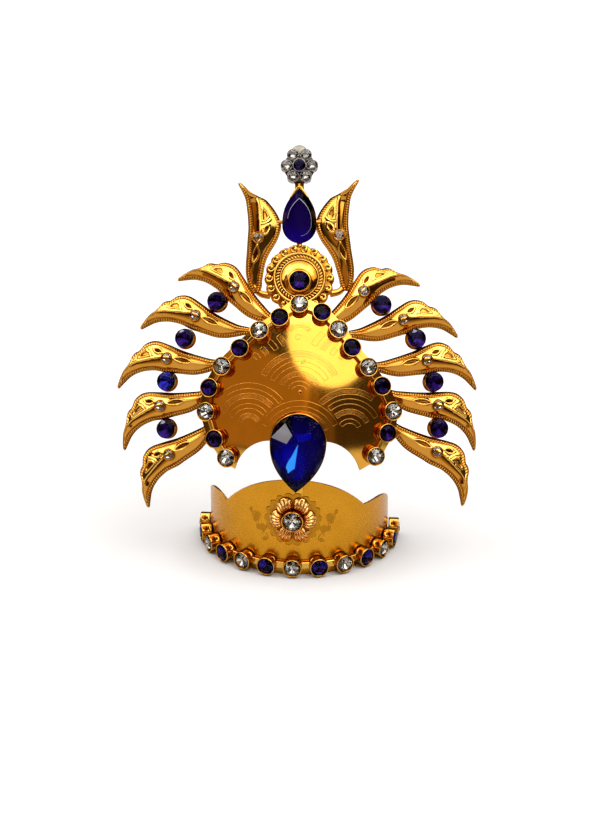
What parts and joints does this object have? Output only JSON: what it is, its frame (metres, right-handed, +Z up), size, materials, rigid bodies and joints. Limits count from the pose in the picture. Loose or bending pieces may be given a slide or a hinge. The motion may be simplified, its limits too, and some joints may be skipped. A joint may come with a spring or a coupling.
{
  "type": "deity crown",
  "caption": "Gold-coloured crown for a deity figure: half-round head band, domed shield with a border of stones, fan of stamped leaves, blue pear-shaped drops and a flower finial.",
  "frame": {"origin": "centre of the head band's circle, on the plane that the crown stands on", "axes": "+Z up, -Y the front of the crown, +X to the right of a viewer who faces it"},
  "size_m": [0.117, 0.0582, 0.1316],
  "materials": {
    "gold_metal": "polished gold plating",
    "silver_metal": "polished",
    "blue_stone": "polished, foil backed",
    "clear_stone": "polished, foil backed"
  },
  "bodies": {
    "root": {"head_band": "gold_metal", "band_chain": "gold_metal", "band_flower": "gold_metal", "shield": "gold_metal", "border_chain": "gold_metal", "front_drop_setting": "gold_metal", "rosette": "gold_metal", "top_drop_setting": "gold_metal", "feather_left_upright": "gold_metal", "feather_left_1": "gold_metal", "feather_left_2": "gold_metal", "feather_left_3": "gold_metal", "feather_left_4": "gold_metal", "feather_left_5": "gold_metal", "feather_right_upright": "gold_metal", "feather_right_1": "gold_metal", "feather_right_2": "gold_metal", "feather_right_3": "gold_metal", "feather_right_4": "gold_metal", "feather_right_5": "gold_metal", "spacer_cup_left_1": "gold_metal", "spacer_cup_left_2": "gold_metal", "spacer_cup_left_3": "gold_metal", "spacer_cup_left_4": "gold_metal", "spacer_cup_right_1": "gold_metal", "spacer_cup_right_2": "gold_metal", "spacer_cup_right_3": "gold_metal", "spacer_cup_right_4": "gold_metal", "finial_flower": "silver_metal", "front_drop_stone": "blue_stone", "rosette_stone": "blue_stone", "top_drop_stone": "blue_stone", "finial_centre_stone": "blue_stone", "spacer_stone_left_1": "blue_stone", "spacer_stone_left_2": "blue_stone", "spacer_stone_left_3": "blue_stone", "spacer_stone_left_4": "blue_stone", "spacer_stone_right_1": "blue_stone", "spacer_stone_right_2": "blue_stone", "spacer_stone_right_3": "blue_stone", "spacer_stone_right_4": "blue_stone", "border_stone_2": "blue_stone", "border_stone_4": "blue_stone", "border_stone_6": "blue_stone", "border_stone_8": "blue_stone", "border_stone_10": "blue_stone", "border_stone_12": "blue_stone", "border_stone_14": "blue_stone", "border_stone_16": "blue_stone", "band_flower_stone": "clear_stone", "border_stone_1": "clear_stone", "border_stone_3": "clear_stone", "border_stone_5": "clear_stone", "border_stone_7": "clear_stone", "border_stone_9": "clear_stone", "border_stone_11": "clear_stone", "border_stone_13": "clear_stone", "border_stone_15": "clear_stone", "border_stone_17": "clear_stone"}
  },
  "joints": []
}
